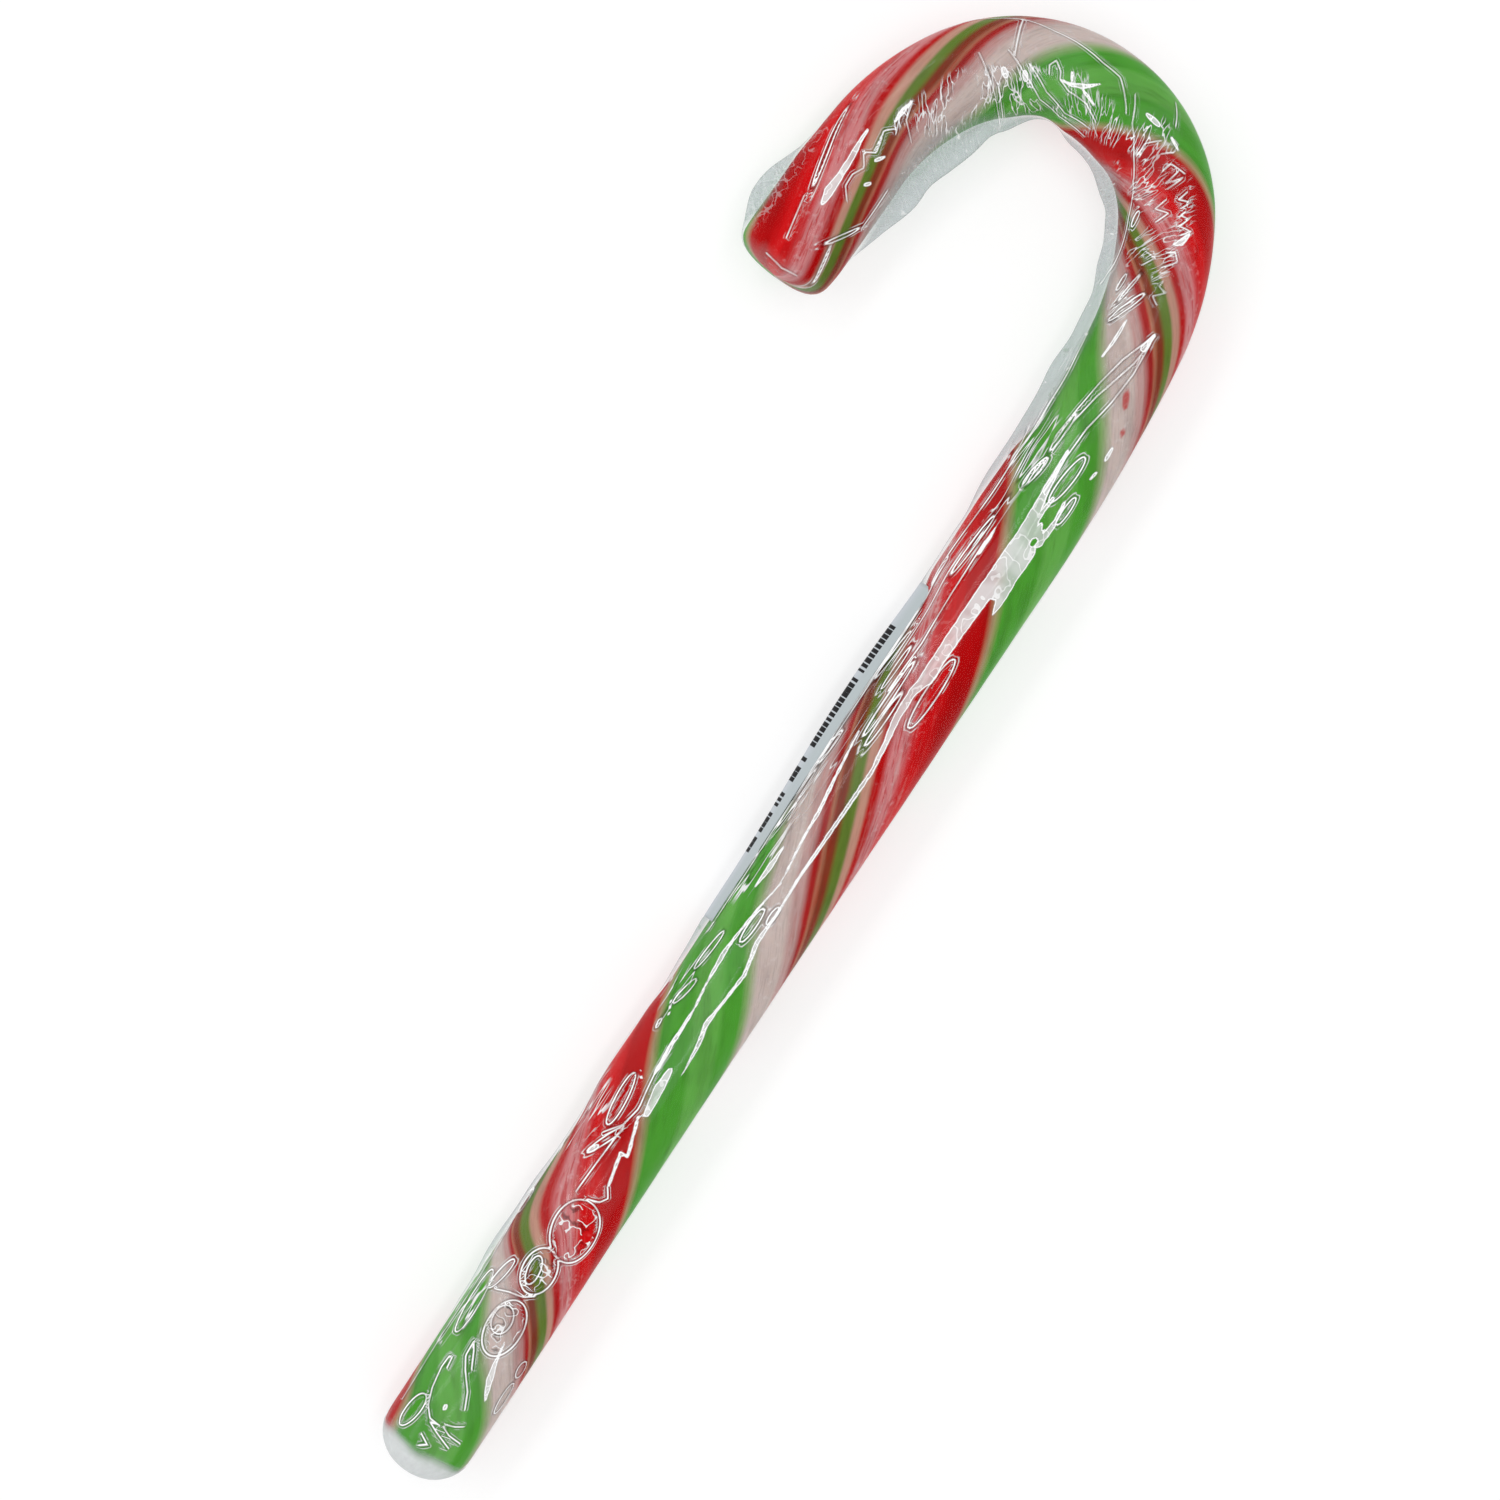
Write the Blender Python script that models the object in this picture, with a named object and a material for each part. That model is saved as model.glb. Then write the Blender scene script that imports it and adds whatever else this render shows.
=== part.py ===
"""A candy cane in its clear film wrapper, with the paper label that is stuck round the shaft.

Metres, +Z up. The cane lies on its side on the XY plane: the foot is at low X and low Y, the shaft
leans up towards +X, and the crook turns back to the left. The origin is on the surface it rests on,
under the middle of its bounding box.

wrapped_cane is the candy together with the film around it, one solid out to the film's outer face.
The film is a tube a little too wide for the candy, so it stands off as a ridge along the inner side
of the cane and as a crumpled fin outside the hook's tip. The cane rests on a narrow flat that runs
along its underside. label lies in a shallow seat, flush with the film.
"""

from math import acos, asin, cos, pi, radians, sin, sqrt

import bmesh
import bpy
from mathutils import Vector

# Driving dimensions, in metres and degrees.
ROD_RADIUS = 0.00525
REST_FLAT_WIDTH = 0.002
FOOT_HEADING = 57.0

# The candy's axis from foot to hook as a chain of arcs: the length of each and how far it turns.
BENDS = (
    (0.1170, -1.0),
    (0.0260, 7.0),
    (0.0140, 24.5),
    (0.0335, 118.0),
    (0.0130, 30.0),
    (0.0155, -2.0),
)

# How each end rounds off: the length of its dome, and its squareness, 2 being an ellipse.
FOOT_DOME = (0.0050, 2.2)
HOOK_DOME = (0.0026, 2.8)

# How far the film stands off the candy, at distances along the axis from the foot.
INNER_RIDGE = (
    (0.012, 0.0001),
    (0.030, 0.0005),
    (0.041, 0.0002),
    (0.050, 0.0006),
    (0.057, 0.0004),
    (0.070, 0.0008),
    (0.097, 0.0017),
    (0.112, 0.0013),
    (0.122, 0.0018),
    (0.134, 0.0018),
    (0.144, 0.0015),
    (0.151, 0.0016),
    (0.158, 0.0014),
    (0.162, 0.0019),
    (0.172, 0.0014),
    (0.178, 0.0003),
    (0.186, 0.0020),
    (0.195, 0.0033),
    (0.203, 0.0029),
    (0.216, 0.0001),
)
OUTER_FIN = ((0.202, 0.0001), (0.2125, 0.0022), (0.2180, 0.0004))

# Stations along the cane: their spacing on the shaft and on the crook, and their number in a dome.
SHAFT_STEP = 0.0045
CROOK_START = 0.130
CROOK_STEP = 0.0015
DOME_STEPS = 6

# Points round a section: between the resting flat and the inner ridge, and on round the far side.
STEPS_TO_RIDGE = 6
STEPS_ROUND_TOP = 20

# The label: its ends along the axis and, as angles up from the inner ridge, its lower and upper edge.
LABEL_ENDS = (0.067, 0.1095)
LABEL_EDGES = (-70.0, 27.0)
LABEL_THICKNESS = 0.0003
LABEL_STEPS = (12, 10)
SEAT_GAP = 0.00035
CUTTER_CLEARANCE = 0.001

# Finishes: base colour, roughness and metallic value.
CANDY_FINISH = ((0.52, 0.10, 0.07, 1.0), 0.25, 0.0)
LABEL_FINISH = ((0.62, 0.62, 0.68, 1.0), 0.55, 0.0)

CANE_LENGTH = sum(length for length, turn in BENDS)
HALF_FLAT = REST_FLAT_WIDTH / 2
AXIS_HEIGHT = sqrt(ROD_RADIUS**2 - HALF_FLAT**2)


def clear_scene():
    for obj in list(bpy.data.objects):
        bpy.data.objects.remove(obj, do_unlink=True)


def material(name, finish):
    """A plain Principled finish for one sub-part."""
    base_color, roughness, metallic = finish
    made = bpy.data.materials.new(name)
    made.use_nodes = True
    shader = made.node_tree.nodes["Principled BSDF"]
    shader.inputs["Base Color"].default_value = base_color
    shader.inputs["Roughness"].default_value = roughness
    shader.inputs["Metallic"].default_value = metallic
    made.diffuse_color = base_color
    return made


def eased(knots, distance):
    """The value at this distance, easing in and out between the knots and held beyond the end ones."""
    if distance <= knots[0][0]:
        return knots[0][1]
    for (start, low), (end, high) in zip(knots, knots[1:]):
        if distance <= end:
            share = (distance - start) / (end - start)
            return low + (high - low) * (1 - cos(pi * share)) / 2
    return knots[-1][1]


def axis_at(distance):
    """The point on the candy's axis this far from the foot, and the direction towards its inner side."""
    point = Vector((0.0, 0.0, AXIS_HEIGHT))
    heading = radians(FOOT_HEADING)
    for length, turn in BENDS:
        run = min(distance, length)
        half_turn = radians(turn) * run / length / 2
        chord = run * sin(half_turn) / half_turn if half_turn else run
        middle = heading + half_turn
        point += Vector((chord * cos(middle), chord * sin(middle), 0.0))
        heading += 2 * half_turn
        distance -= run
    return point, Vector((-sin(heading), cos(heading), 0.0))


def dome_scale(distance):
    """How much of the full section is left this far along: 1 between the domes, 0 at either tip."""
    scale = 1.0
    for depth, (length, power) in ((distance, FOOT_DOME), (CANE_LENGTH - distance, HOOK_DOME)):
        if depth < length:
            scale = max(1 - (1 - depth / length) ** power, 0.0) ** (1 / power)
    return scale


def drawn_out(angle, stand_off):
    """The film's distance from the axis: the rod's radius, drawn out to a ridge at angle 0."""
    shoulder = acos(ROD_RADIUS / (ROD_RADIUS + stand_off))
    return ROD_RADIUS / cos(max(shoulder - abs(angle), 0.0))


def film_point(distance, angle, offset=0.0):
    """A point on the film's outer face, or offset outwards from it, at this angle up from the ridge."""
    inner = drawn_out(angle, eased(INNER_RIDGE, distance))
    outer = drawn_out(pi - abs(angle), eased(OUTER_FIN, distance))
    reach = max(inner, outer) * dome_scale(distance) + offset
    point, inward = axis_at(distance)
    height = max(point.z + reach * sin(angle), 0.0 if offset == 0 else -1.0)
    return Vector((point.x, point.y, height)) + reach * cos(angle) * inward


def ring_angles():
    """Angles round a section, from one edge of the resting flat over the top to the other edge."""
    flat_edge = asin(HALF_FLAT / ROD_RADIUS)
    first = flat_edge - pi / 2
    last = 1.5 * pi - flat_edge
    below = [first * (1 - i / STEPS_TO_RIDGE) for i in range(STEPS_TO_RIDGE)]
    above = [last * i / STEPS_ROUND_TOP for i in range(STEPS_ROUND_TOP + 1)]
    return [angle - 2 * pi if angle > pi else angle for angle in below + above]


def stations():
    """Distances of the sections along the axis, close together in the domes and on the crook."""
    foot, hook = FOOT_DOME[0], HOOK_DOME[0]
    crowded = [1 - cos(pi / 2 * i / DOME_STEPS) for i in range(1, DOME_STEPS)]
    found = [foot * share for share in crowded]
    for start, end, step in (
        (foot, CROOK_START, SHAFT_STEP),
        (CROOK_START, CANE_LENGTH - hook, CROOK_STEP),
    ):
        count = round((end - start) / step)
        found += [start + (end - start) * i / count for i in range(count)]
    return found + [CANE_LENGTH - hook] + [CANE_LENGTH - hook * share for share in reversed(crowded)]


def grid_faces(mesh, rows, closed_row):
    """Quads between rows of points. A closed row's last point joins its first."""
    for row, following in zip(rows, rows[1:]):
        for i in range(len(row) if closed_row else len(row) - 1):
            j = (i + 1) % len(row)
            mesh.faces.new((row[i], row[j], following[j], following[i]))


def finished(name, mesh, finish):
    """An object of this mesh, its normals facing out and its round faces smooth."""
    bmesh.ops.recalc_face_normals(mesh, faces=mesh.faces)
    data = bpy.data.meshes.new(name)
    mesh.to_mesh(data)
    mesh.free()
    data.shade_smooth()
    data.set_sharp_from_angle(angle=radians(35))
    data.materials.append(finish)
    obj = bpy.data.objects.new(name, data)
    bpy.context.scene.collection.objects.link(obj)
    return obj


def build_wrapped_cane(finish):
    """The candy in its film: rings swept along the axis, closed by a point at each tip."""
    mesh = bmesh.new()
    angles = ring_angles()
    rings = [[mesh.verts.new(film_point(s, angle)) for angle in angles] for s in stations()]
    grid_faces(mesh, rings, closed_row=True)
    for ring, tip in ((rings[0], 0.0), (rings[-1], CANE_LENGTH)):
        pole = mesh.verts.new(axis_at(tip)[0])
        for first, second in zip(ring, ring[1:] + ring[:1]):
            mesh.faces.new((first, second, pole))
    return finished("wrapped_cane", mesh, finish)


def wrapped_strip(name, lowest, highest, margin, finish):
    """A closed strip that follows the film over the label's field, widened all round by the margin."""
    mesh = bmesh.new()
    along, across = LABEL_STEPS
    start, end = LABEL_ENDS[0] - margin, LABEL_ENDS[1] + margin
    low = radians(LABEL_EDGES[0]) - margin / ROD_RADIUS
    high = radians(LABEL_EDGES[1]) + margin / ROD_RADIUS
    angles = [low * (1 - i / across) for i in range(across)]
    angles += [high * i / (across // 2) for i in range(across // 2 + 1)]
    loops = []
    for i in range(along + 1):
        distance = start + (end - start) * i / along
        inner = [mesh.verts.new(film_point(distance, angle, lowest)) for angle in angles]
        outer = [mesh.verts.new(film_point(distance, angle, highest)) for angle in angles]
        loops.append(inner + outer[::-1])
    grid_faces(mesh, loops, closed_row=True)
    for loop in (loops[0], loops[-1]):
        half = len(loop) // 2
        grid_faces(mesh, [loop[:half], loop[: half - 1 : -1]], closed_row=False)
    return finished(name, mesh, finish)


def cut_seat(cane, finish):
    """The shallow seat that leaves the label flush with the film and clear of it all round."""
    depth = LABEL_THICKNESS + SEAT_GAP
    cutter = wrapped_strip("seat_cutter", -depth, CUTTER_CLEARANCE, SEAT_GAP, finish)
    cutter.hide_render = True
    cutter.display_type = "WIRE"
    cut = cane.modifiers.new("label_seat", "BOOLEAN")
    cut.operation = "DIFFERENCE"
    cut.solver = "EXACT"
    cut.object = cutter
    return cutter


def centre_on_origin(objects, leader):
    """Moves the objects together, so that the leader's box is centred on the origin in X and Y."""
    for axis in (0, 1):
        places = [vertex.co[axis] for vertex in leader.data.vertices]
        middle = (min(places) + max(places)) / 2
        for obj in objects:
            obj.location[axis] = -middle


def main():
    clear_scene()
    candy_finish = material("wrapped_candy", CANDY_FINISH)
    label_finish = material("label_paper", LABEL_FINISH)
    cane = build_wrapped_cane(candy_finish)
    cutter = cut_seat(cane, candy_finish)
    label = wrapped_strip("label", -LABEL_THICKNESS, 0.0, 0.0, label_finish)
    centre_on_origin((cane, cutter, label), leader=cane)


main()
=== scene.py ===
"""The looks of a candy cane in its clear film wrapper, with the paper label stuck round the shaft.

The candy is a striped rod swept along the cane's axis. The film is a loose tube round it that clings in
some places and stands off in others, which gives it its folds. Its glints, the white lines along its
folds and the dark lines beside them are painted highlight and painted shade. Sizes are in metres.
"""

from math import cos, hypot, pi, radians, sin, sqrt

import bpy
import numpy as np
from bpy.props import FloatProperty, FloatVectorProperty, IntProperty, PointerProperty
from mathutils import Matrix, Vector


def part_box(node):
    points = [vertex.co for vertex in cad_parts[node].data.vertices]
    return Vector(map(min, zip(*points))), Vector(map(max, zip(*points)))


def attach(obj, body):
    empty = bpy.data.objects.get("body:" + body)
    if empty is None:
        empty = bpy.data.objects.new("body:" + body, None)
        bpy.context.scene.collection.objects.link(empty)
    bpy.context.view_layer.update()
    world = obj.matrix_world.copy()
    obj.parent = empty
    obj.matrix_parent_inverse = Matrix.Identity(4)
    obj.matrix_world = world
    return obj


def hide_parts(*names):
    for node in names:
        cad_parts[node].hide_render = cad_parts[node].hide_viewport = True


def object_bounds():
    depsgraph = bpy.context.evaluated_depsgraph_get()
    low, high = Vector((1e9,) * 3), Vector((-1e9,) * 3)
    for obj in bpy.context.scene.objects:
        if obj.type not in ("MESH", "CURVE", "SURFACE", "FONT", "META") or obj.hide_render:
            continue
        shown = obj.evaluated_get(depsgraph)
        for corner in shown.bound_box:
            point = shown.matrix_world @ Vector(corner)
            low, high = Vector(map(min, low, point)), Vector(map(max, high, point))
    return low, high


bl_info = {
    "name": "Wrapped Candy Cane",
    "version": (1, 0, 0),
    "blender": (4, 5, 0),
    "location": "View3D > Sidebar > Candy Cane",
    "description": "Makes a striped candy cane in clear film, its label and a plain stage",
    "category": "Object",
}

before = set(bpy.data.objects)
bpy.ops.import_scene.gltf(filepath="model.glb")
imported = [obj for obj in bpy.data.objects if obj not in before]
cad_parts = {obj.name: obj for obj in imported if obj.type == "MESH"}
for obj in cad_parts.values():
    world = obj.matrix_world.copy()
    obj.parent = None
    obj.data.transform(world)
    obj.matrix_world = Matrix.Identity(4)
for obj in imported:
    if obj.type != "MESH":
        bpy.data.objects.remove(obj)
CAD_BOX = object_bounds()

# The cane's axis and the outline of its wrapper, as the CAD model has them.
ROD_RADIUS = 0.00525
REST_FLAT_WIDTH = 0.002
FOOT_HEADING = 57.0
BENDS = (
    (0.1170, -1.0),
    (0.0260, 7.0),
    (0.0140, 24.5),
    (0.0335, 118.0),
    (0.0130, 30.0),
    (0.0155, -2.0),
)
FOOT_DOME = (0.0050, 2.2)
HOOK_DOME = (0.0026, 2.8)
INNER_RIDGE = (
    (0.012, 0.0001),
    (0.030, 0.0005),
    (0.041, 0.0002),
    (0.050, 0.0006),
    (0.057, 0.0004),
    (0.070, 0.0008),
    (0.097, 0.0017),
    (0.112, 0.0013),
    (0.122, 0.0018),
    (0.134, 0.0018),
    (0.144, 0.0015),
    (0.151, 0.0016),
    (0.158, 0.0014),
    (0.162, 0.0019),
    (0.172, 0.0014),
    (0.178, 0.0003),
    (0.186, 0.0020),
    (0.195, 0.0033),
    (0.203, 0.0029),
    (0.216, 0.0001),
)
OUTER_FIN = ((0.202, 0.0001), (0.2125, 0.0022), (0.2180, 0.0004))
LABEL_ENDS = (0.067, 0.1095)
LABEL_EDGES = (-70.0, 27.0)
CANE_LENGTH = sum(length for length, turn in BENDS)
AXIS_HEIGHT = sqrt(ROD_RADIUS**2 - (REST_FLAT_WIDTH / 2) ** 2)
GIRTH = 2 * pi * ROD_RADIUS

# A millimetre, in which the folds are given, how many of them one degree round the cane spans, and a
# distance in millimetres at which a fold no longer counts.
MM = 0.001
ROD_MM = ROD_RADIUS / MM
DEGREE_MM = radians(1) * ROD_MM
FAR = 10.0

# Rows and columns of the meshes. A spacing of rows has where it ends and its step along the cane. The
# film's columns are close together over its upper side, which is between two angles in degrees.
CANDY_COLUMNS = 96
CANDY_STEP = 0.0006
FILM_SPACINGS = (
    (0.045, 0.0003),
    (0.125, 0.0006),
    (0.200, 0.00021),
    (CANE_LENGTH - HOOK_DOME[0], 0.0003),
)
FILM_SIDE = (-8.0, 184.0)
FILM_COLUMNS = (94, 44)
CANDY_DOME_ROWS = 10
FILM_DOME_ROWS = 13
LABEL_ROWS = 90
LABEL_COLUMNS = 40

# The least height of the candy and of the film and label, and how far the floor lies below zero, so
# that no two of them touch.
CANDY_FLOOR = 0.00003
SHEET_FLOOR = 0.00001
FLOOR_DROP = 0.00005

# The label's visible edge, in degrees, how far the film stays below it, its own rise over the film's
# shape, its thickness, and the share of its length that the row of bars takes up.
LABEL_TOP = 20.0
LABEL_CLEARANCE = 0.00006
LABEL_RISE = 0.00003
PAPER_THICKNESS = 0.00012
BAR_ROW = (0.193, 0.873)

# The lamps, each a long strip beside the shaft: its place, its width and length, and its power.
LAMPS = (
    ("key_light", (0.12, -0.05, 0.60), (0.09, 0.80), 0.8),
    ("side_light", (-0.30, 0.18, 0.50), (0.10, 0.80), 0.8),
)
LAMP_HEADING = radians(57)

# Half the floor's side, the camera's sensor in millimetres, and how far it aims beside the middle.
FLOOR_HALF = 1.5
SENSOR_WIDTH = 36.0
AIM_SHIFT = (-0.0053, -0.0003)

# How far the candy swells towards its inner and its outer side, at distances from the foot.
INNER_SWELL = (
    (0.041, 0.0),
    (0.047, 0.0005),
    (0.055, 0.0004),
    (0.060, 0.0001),
    (0.106, 0.0002),
    (0.112, 0.0011),
    (0.120, 0.0012),
    (0.126, 0.0010),
    (0.132, 0.0001),
    (0.163, 0.0001),
    (0.169, 0.0006),
    (0.174, 0.0006),
    (0.179, 0.0),
    (0.185, 0.0005),
    (0.2145, 0.0004),
    (0.2187, 0.0001),
)
OUTER_SWELL = ((0.201, 0.0), (0.208, 0.0004), (0.215, 0.0004), (0.219, 0.0002))

# How far the stripes have turned round the candy at distances from the foot, in degrees.
TWIST = (
    (0.0, -100.0),
    (0.007, -91.0),
    (0.0157, -18.0),
    (0.030, 111.0),
    (0.040, 175.0),
    (0.050, 231.0),
    (0.060, 291.0),
    (0.0722, 368.0),
    (0.090, 453.0),
    (0.100, 497.0),
    (0.110, 547.0),
    (0.130, 665.0),
    (0.150, 806.0),
    (0.160, 884.0),
    (0.170, 972.0),
    (0.180, 1049.0),
    (0.190, 1131.0),
    (0.200, 1171.0),
    (0.219, 1232.0),
)

# How far the stripes lag behind on the cane's inner side, in degrees.
LAG = (
    (0.012, 0.0),
    (0.021, 22.0),
    (0.029, -30.0),
    (0.040, 0.0),
    (0.064, 0.0),
    (0.075, 20.0),
    (0.086, 0.0),
    (0.186, 0.0),
    (0.194, 14.0),
    (0.207, 14.0),
    (0.216, 4.0),
)

# The stripes in one turn of the pattern: where each begins and ends, in degrees, and its colour.
STRIPES = (
    (0, 1, "tan"),
    (6, 15, "olive"),
    (22, 28, "brown"),
    (34, 34, "clay"),
    (38, 42, "maroon"),
    (52, 60, "blush"),
    (69, 99, "white"),
    (114, 114, "leaf"),
    (123, 142, "green"),
    (150, 182, "lime"),
    (190, 226, "green"),
    (237, 237, "moss"),
    (247, 276, "red"),
    (292, 305, "scarlet"),
    (313, 313, "rose"),
    (321, 334, "pink"),
    (342, 348, "red"),
    (354, 360, "tan"),
)

# Flecks of red on the white stripe of the crook: the ends of each along the axis in millimetres, their
# angles up from the inner side in degrees, and half its width in millimetres.
FLECKS = (
    (136.2, 113, 138.3, 103, 0.34),
    (133.6, 128, 134.6, 124, 0.30),
    (153.2, 128, 154.6, 126, 0.22),
    (98.2, 92, 99.8, 88, 0.22),
)

# What the film does is given in millimetres along the axis from the foot and in degrees up from the
# cane's inner side. Leaves are closed folds round a place where the film clings: the two tips, and half
# the width in millimetres.
LEAVES = (
    (4.4, 50, 8.6, 57, 0.9),
    (15.9, 95, 22.4, 92, 2.0),
    (18.2, 88, 21.4, 84, 1.1),
    (15.8, 44, 23.4, 38, 0.9),
    (21.7, 49, 25.7, 58, 0.5),
    (23.6, 94, 28.8, 88, 1.85),
    (24.4, 88, 27.6, 82, 0.7),
    (28.4, 110, 35.2, 92, 2.6),
    (29.8, 14, 32.8, 12, 0.6),
    (10.6, 150, 14.4, 147, 0.6),
    (15.1, 147, 17.1, 143, 0.6),
    (43.1, 63, 49.2, 55, 0.7),
    (39.5, 61, 43.7, 81, 0.34),
    (54.4, 45, 55.6, 43, 0.21),
    (57.6, 46, 61.1, 55, 0.37),
    (61.9, 44, 66.9, 50, 0.37),
    (67.0, 76, 71.3, 77, 0.43),
    (70.1, 90, 72.3, 91, 0.32),
    (79.4, 26, 86.5, 27, 0.27),
    (87.4, 25, 91.7, 28, 0.32),
    (92.4, 61, 101.8, 62, 0.34),
    (91.6, 70, 98.4, 71, 0.30),
    (95.7, 101, 104.4, 100, 0.72),
    (97.7, 45, 103.0, 46, 0.27),
    (98.3, 26, 104.4, 31, 0.27),
    (111.9, 36, 119.5, 41, 0.32),
    (123.8, 91, 129.8, 99, 0.62),
    (122.2, 113, 125.7, 115, 0.38),
    (123.9, 52, 127.8, 61, 0.43),
    (124.4, 56, 127.2, 60, 0.18),
    (128.7, 59, 133.3, 64, 0.21),
    (148.0, 36, 150.1, 44, 0.27),
    (146.9, 45, 150.2, 62, 0.16),
    (144.2, 42, 148.3, 74, 0.32),
    (155.9, 40, 157.8, 50, 0.27),
    (200.7, 139, 209.2, 112, 0.27),
    (210.0, 31, 213.5, 59, 0.21),
    (213.4, 51, 217.4, 38, 0.16),
)

# Leaves wider than this, in millimetres to each side, are wrinkled inside.
WRINKLED_WIDTH = 1.5

# Creases are single folds, each through a few points. They are softer from CROOK_MM on.
CROOK_MM = 146.0
CREASES = (
    ((55.1, 72), (52.8, 75), (50.3, 77), (48.4, 80), (46.4, 84), (44.0, 79), (42.1, 63)),
    ((44.0, 81), (39.5, 78), (35.4, 76)),
    ((35.4, 92), (35.8, 106), (36.6, 112), (37.6, 104)),
    ((6.8, 92), (6.9, 78), (7.9, 68), (9.6, 60), (12.0, 55), (13.4, 56), (13.5, 60), (12.2, 62)),
    ((7.2, 97), (7.5, 108), (8.0, 118)),
    ((9.6, 107), (11.4, 98), (13.2, 82), (14.5, 73), (16.2, 72), (15.4, 78), (13.6, 88)),
    ((5.2, 116), (6.0, 94), (6.6, 80)),
    ((6.2, 126), (6.4, 108), (6.9, 96)),
    ((3.8, 84), (4.3, 94), (5.0, 80)),
    ((6.5, 29), (10.0, 27), (15.0, 24), (22.0, 23), (28.0, 14), (36.0, 6)),
    ((22.0, 58), (22.6, 74), (23.0, 92), (23.8, 104)),
    ((144.6, 102), (140.7, 82), (137.4, 71), (133.8, 62), (130.4, 55), (128.7, 58)),
    ((144.6, 104), (141.0, 96), (136.1, 76), (132.5, 66), (128.7, 62)),
    ((144.6, 103), (139.9, 101), (136.1, 94), (132.5, 84), (128.7, 80), (124.3, 79)),
    ((117.0, 50), (110.0, 52), (104.0, 57), (98.0, 55)),
    ((66.0, 26), (73.0, 25), (78.0, 23), (92.0, 24), (104.0, 23), (113.0, 20)),
    ((170.4, 103), (168.3, 78), (165.0, 60), (161.9, 48), (157.1, 34), (153.3, 26), (150.6, 18),
     (148.5, 8)),
    ((187.7, 172), (185.3, 155), (182.7, 147), (179.9, 129), (174.7, 110), (172.6, 107), (169.6, 80)),
    ((184.2, 98), (182.6, 72), (180.0, 40), (176.5, 24), (171.5, 20)),
    ((182.0, 82), (179.4, 52), (176.0, 33), (171.5, 34)),
    ((167.6, 147), (165.7, 121)),
    ((182.7, 147), (183.6, 92)),
    ((186.0, 6), (186.3, 45), (187.2, 100)),
    ((185.4, 12), (185.8, 62)),
    ((199.2, 74), (200.2, 82), (201.4, 76), (202.6, 72), (203.4, 85), (204.7, 74), (206.0, 81),
     (207.4, 80), (208.6, 68)),
    ((200.4, 81), (202.3, 76)),
    ((199.5, 69), (197.3, 84), (195.9, 83), (197.6, 72), (198.8, 47)),
    ((210.6, 114), (215.5, 101)),
    ((218.0, 62), (218.3, 84), (218.0, 112)),
    ((204.9, 30), (209.8, 26)),
    ((178.2, 71), (178.4, 80), (179.2, 91), (179.8, 84), (179.6, 74)),
    ((147.6, 91), (148.3, 84), (149.0, 97), (149.5, 88), (150.1, 91)),
    ((151.5, 84), (152.4, 103), (153.4, 98), (153.2, 88)),
    ((155.2, 102), (155.7, 114), (156.1, 99), (156.9, 111), (157.2, 100), (157.6, 106)),
    ((157.9, 101), (158.5, 113), (158.8, 98), (159.5, 110)),
    ((160.0, 86), (160.9, 107), (160.6, 84), (161.6, 103)),
    ((162.0, 85), (162.5, 97), (161.3, 110)),
    ((163.8, 90), (163.5, 104), (164.1, 114), (164.9, 110)),
    ((164.8, 64), (165.6, 78), (165.1, 96)),
    ((151.4, 62), (152.4, 76), (153.0, 64)),
    ((156.4, 72), (157.4, 86), (157.9, 70), (158.9, 84)),
    ((171.6, 46), (174.0, 58), (176.8, 62), (178.2, 71)),
)

# Gathers are fields of fine crumples on the crook, with fine strokes of painted highlight and painted
# shade
# over them: the two ends of each oval field and half its width, as for a leaf, then how densely it is
# crossed.
GATHERS = (
    (143.5, 40, 150.0, 70, 1.8, 0.7),
    (148.5, 60, 157.5, 80, 3.0, 0.7),
    (153.0, 94, 166.5, 84, 2.9, 0.5),
    (157.0, 60, 171.0, 45, 2.2, 0.8),
    (165.0, 110, 171.0, 50, 2.4, 0.9),
    (168.5, 48, 181.0, 62, 3.2, 0.6),
    (178.0, 40, 189.0, 60, 3.6, 0.8),
    (185.0, 62, 197.5, 50, 3.0, 0.8),
    (193.0, 80, 200.0, 76, 0.9, 0.8),
)

# How far those strokes lean along the cane for each step round it, at distances in millimetres.
STROKE_LEAN = (
    (143, 1.3), (150, 0.9), (158, 0.4), (166, 0.6), (176, 0.8), (184, 0.2), (190, -0.5),
    (200, -0.8),
)
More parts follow.
